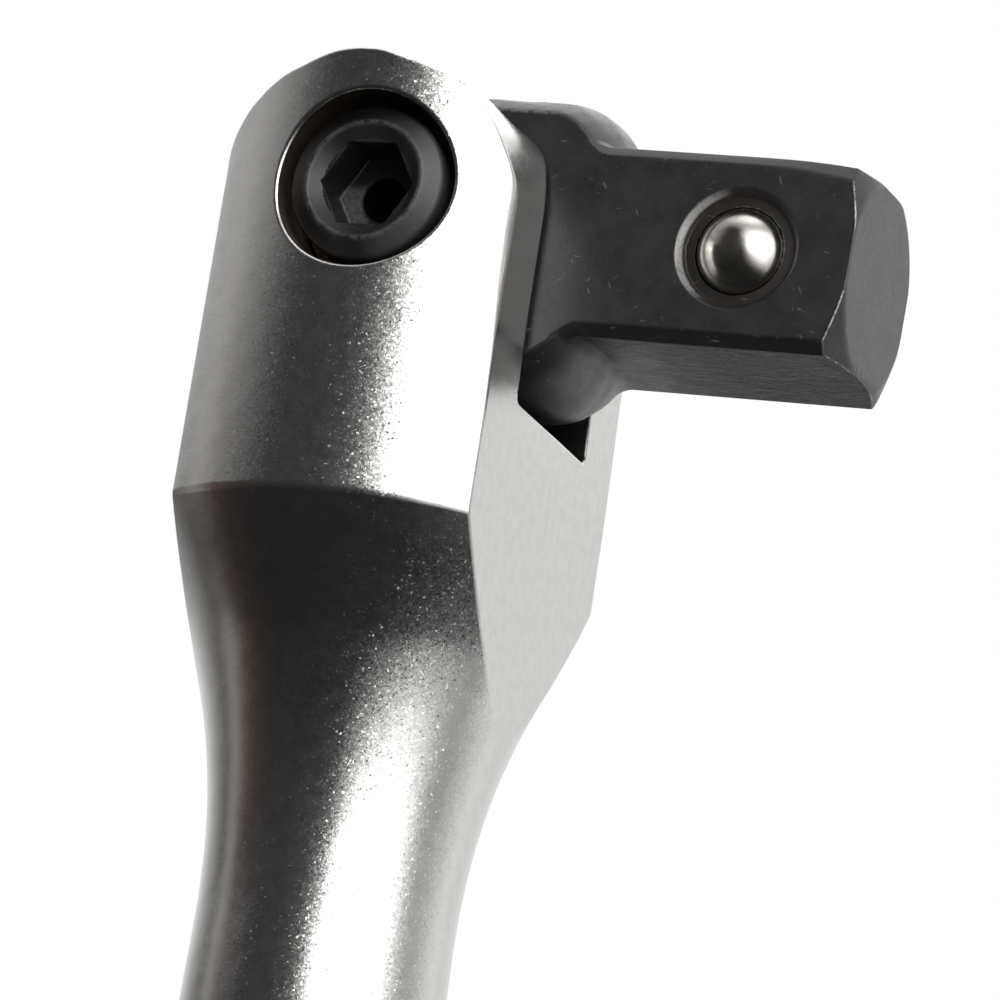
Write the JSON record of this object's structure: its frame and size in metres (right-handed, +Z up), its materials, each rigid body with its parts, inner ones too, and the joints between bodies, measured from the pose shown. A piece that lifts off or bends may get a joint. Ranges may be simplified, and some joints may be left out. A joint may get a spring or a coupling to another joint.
{
  "type": "hinged breaker bar",
  "caption": "Hinged breaker bar: chromed forged handle with a fork, black swinging 12.7 mm square drive with ball detent, and soft grip.",
  "frame": {"origin": "centre of the flat butt face, on the handle's axis", "axes": "+Z up the handle towards the fork; +X towards the side that the drive tang points to at rest; -Y towards the screw head and the detent ball"},
  "size_m": [0.0456, 0.0314, 0.4004],
  "materials": {
    "satin_chrome": "satin chrome plate over a fine blasted surface",
    "black_steel": "black phosphated steel, lightly scratched, worn bright on edges",
    "polished_steel": "polished ball",
    "spring_steel": "bare spring steel",
    "black_screw": "black oxide, oiled",
    "grip_hard": "fine matt moulding texture",
    "grip_soft": "soft matt rubber"
  },
  "bodies": {
    "handle": {"handle_bar": "satin_chrome", "hinge_screw": "black_screw", "spring_washer": "spring_steel", "thrust_washer_near": "spring_steel", "thrust_washer_far": "spring_steel", "grip_core": "grip_hard", "grip_skin": "grip_soft", "end_cap": "grip_hard"},
    "tang": {"drive_tang": "black_steel", "detent_spring": "spring_steel"},
    "ball": {"detent_ball": "polished_steel"}
  },
  "joints": [
    {"name": "tang_hinge", "type": "hinge", "parent": "handle", "child": "tang", "pos_m": [0.00064, 0, 0.39], "axis": [0, -1, 0], "range_deg": [-6.2, 189.8]},
    {"name": "ball_press", "type": "slide", "parent": "tang", "child": "ball", "axis": [0, 1, 0], "range_m": [0, 0.0011], "stiffness_N_per_m": 1500, "springref_m": -0.003, "deforming": ["detent_spring"]}
  ]
}
